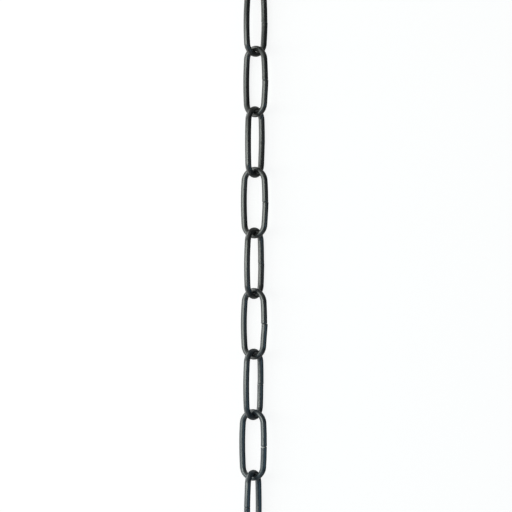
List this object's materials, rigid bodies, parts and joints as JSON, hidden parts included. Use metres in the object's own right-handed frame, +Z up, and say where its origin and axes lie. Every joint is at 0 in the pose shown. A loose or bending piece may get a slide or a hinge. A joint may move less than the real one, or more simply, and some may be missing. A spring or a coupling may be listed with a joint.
{
  "type": "lamp chain",
  "caption": "Straight length of black open-link lamp chain of bent oval wire links that hook into each other at right angles.",
  "frame": {"origin": "on the floor, below the middle of the chain's length", "axes": "+Y along the chain towards its first link, +Z up, away from the floor; the links are rolled about 45 degrees to either side of the X-Y plane"},
  "size_m": [0.014, 0.904, 0.0135],
  "materials": {
    "black_wire": "satin black finish on steel wire, fine draw lines along the wire, bare dark edges at the butt cuts"
  },
  "bodies": {
    "link_01": {"link_01": "black_wire"},
    "link_02": {"link_02": "black_wire"},
    "link_03": {"link_03": "black_wire"},
    "link_04": {"link_04": "black_wire"},
    "link_05": {"link_05": "black_wire"},
    "link_06": {"link_06": "black_wire"},
    "link_07": {"link_07": "black_wire"},
    "link_08": {"link_08": "black_wire"},
    "link_09": {"link_09": "black_wire"},
    "link_10": {"link_10": "black_wire"},
    "link_11": {"link_11": "black_wire"},
    "link_12": {"link_12": "black_wire"},
    "link_13": {"link_13": "black_wire"},
    "link_14": {"link_14": "black_wire"},
    "link_15": {"link_15": "black_wire"},
    "link_16": {"link_16": "black_wire"},
    "link_17": {"link_17": "black_wire"},
    "link_18": {"link_18": "black_wire"},
    "link_19": {"link_19": "black_wire"},
    "link_20": {"link_20": "black_wire"},
    "link_21": {"link_21": "black_wire"},
    "link_22": {"link_22": "black_wire"},
    "link_23": {"link_23": "black_wire"},
    "link_24": {"link_24": "black_wire"},
    "link_25": {"link_25": "black_wire"},
    "link_26": {"link_26": "black_wire"},
    "link_27": {"link_27": "black_wire"},
    "link_28": {"link_28": "black_wire"},
    "link_29": {"link_29": "black_wire"}
  },
  "joints": [
    {"name": "swing_02", "type": "hinge", "parent": "link_01", "child": "link_02", "pos_m": [0.00019, 0.41655, 0.00603], "axis": [0.6772, 0, -0.7358], "range_deg": [-120, 120]},
    {"name": "swing_03", "type": "hinge", "parent": "link_02", "child": "link_03", "pos_m": [0.00015, 0.38555, 0.006], "axis": [0.7358, 0, 0.6772], "range_deg": [-120, 120]},
    {"name": "swing_04", "type": "hinge", "parent": "link_03", "child": "link_04", "pos_m": [0.00006, 0.35456, 0.00609], "axis": [-0.6887, 0, 0.725], "range_deg": [-120, 120]},
    {"name": "swing_05", "type": "hinge", "parent": "link_04", "child": "link_05", "pos_m": [-0.00005, 0.32356, 0.00597], "axis": [-0.7071, 0, -0.7071], "range_deg": [-120, 120]},
    {"name": "swing_06", "type": "hinge", "parent": "link_05", "child": "link_06", "pos_m": [-0.00015, 0.29257, 0.00607], "axis": [0.725, 0, -0.6887], "range_deg": [-120, 120]},
    {"name": "swing_07", "type": "hinge", "parent": "link_06", "child": "link_07", "pos_m": [-0.00019, 0.26158, 0.00603], "axis": [0.6772, 0, 0.7358], "range_deg": [-120, 120]},
    {"name": "swing_08", "type": "hinge", "parent": "link_07", "child": "link_08", "pos_m": [-0.00015, 0.23058, 0.006], "axis": [-0.7358, 0, 0.6772], "range_deg": [-120, 120]},
    {"name": "swing_09", "type": "hinge", "parent": "link_08", "child": "link_09", "pos_m": [-0.00017, 0.19959, 0.00598], "axis": [-0.6887, 0, -0.725], "range_deg": [-120, 120]},
    {"name": "swing_10", "type": "hinge", "parent": "link_09", "child": "link_10", "pos_m": [-0.0004, 0.16862, 0.00617], "axis": [0.7431, 0, -0.6691], "range_deg": [-120, 120]},
    {"name": "swing_11", "type": "hinge", "parent": "link_10", "child": "link_11", "pos_m": [-0.00035, 0.13768, 0.00616], "axis": [0.6157, 0, 0.788], "range_deg": [-120, 120]},
    {"name": "swing_12", "type": "hinge", "parent": "link_11", "child": "link_12", "pos_m": [-0.0004, 0.10671, 0.00614], "axis": [-0.8387, 0, 0.5446], "range_deg": [-120, 120]},
    {"name": "swing_13", "type": "hinge", "parent": "link_12", "child": "link_13", "pos_m": [-0.00036, 0.07579, 0.00626], "axis": [-0.5878, 0, -0.809], "range_deg": [-120, 120]},
    {"name": "swing_14", "type": "hinge", "parent": "link_13", "child": "link_14", "pos_m": [0.00003, 0.04481, 0.00596], "axis": [0.7133, 0, -0.7009], "range_deg": [-120, 120]},
    {"name": "swing_15", "type": "hinge", "parent": "link_14", "child": "link_15", "pos_m": [0.00002, 0.01381, 0.00594], "axis": [0.7254, 0, 0.6884], "range_deg": [-120, 120]},
    {"name": "swing_16", "type": "hinge", "parent": "link_15", "child": "link_16", "pos_m": [-0.00019, -0.01718, 0.00614], "axis": [-0.7193, 0, 0.6947], "range_deg": [-120, 120]},
    {"name": "swing_17", "type": "hinge", "parent": "link_16", "child": "link_17", "pos_m": [-0.00022, -0.04817, 0.00608], "axis": [-0.6626, 0, -0.749], "range_deg": [-120, 120]},
    {"name": "swing_18", "type": "hinge", "parent": "link_17", "child": "link_18", "pos_m": [0.00006, -0.07916, 0.00583], "axis": [0.7314, 0, -0.682], "range_deg": [-120, 120]},
    {"name": "swing_19", "type": "hinge", "parent": "link_18", "child": "link_19", "pos_m": [0.00037, -0.11014, 0.00611], "axis": [0.749, 0, 0.6626], "range_deg": [-120, 120]},
    {"name": "swing_20", "type": "hinge", "parent": "link_19", "child": "link_20", "pos_m": [0.00039, -0.14108, 0.00605], "axis": [-0.6293, 0, 0.7771], "range_deg": [-120, 120]},
    {"name": "swing_21", "type": "hinge", "parent": "link_20", "child": "link_21", "pos_m": [0.00023, -0.17205, 0.00594], "axis": [-0.7547, 0, -0.6561], "range_deg": [-120, 120]},
    {"name": "swing_22", "type": "hinge", "parent": "link_21", "child": "link_22", "pos_m": [0.00017, -0.20303, 0.00602], "axis": [0.682, 0, -0.7314], "range_deg": [-120, 120]},
    {"name": "swing_23", "type": "hinge", "parent": "link_22", "child": "link_23", "pos_m": [0.00015, -0.23402, 0.006], "axis": [0.7358, 0, 0.6772], "range_deg": [-120, 120]},
    {"name": "swing_24", "type": "hinge", "parent": "link_23", "child": "link_24", "pos_m": [0.00006, -0.26502, 0.00609], "axis": [-0.6887, 0, 0.725], "range_deg": [-120, 120]},
    {"name": "swing_25", "type": "hinge", "parent": "link_24", "child": "link_25", "pos_m": [-0.00005, -0.29602, 0.00597], "axis": [-0.7071, 0, -0.7071], "range_deg": [-120, 120]},
    {"name": "swing_26", "type": "hinge", "parent": "link_25", "child": "link_26", "pos_m": [-0.00015, -0.32702, 0.00607], "axis": [0.725, 0, -0.6887], "range_deg": [-120, 120]},
    {"name": "swing_27", "type": "hinge", "parent": "link_26", "child": "link_27", "pos_m": [-0.00019, -0.358, 0.00603], "axis": [0.6772, 0, 0.7358], "range_deg": [-120, 120]},
    {"name": "swing_28", "type": "hinge", "parent": "link_27", "child": "link_28", "pos_m": [-0.00015, -0.38899, 0.006], "axis": [-0.7358, 0, 0.6772], "range_deg": [-120, 120]},
    {"name": "swing_29", "type": "hinge", "parent": "link_28", "child": "link_29", "pos_m": [-0.00006, -0.41999, 0.00609], "axis": [-0.6887, 0, -0.725], "range_deg": [-120, 120]}
  ]
}
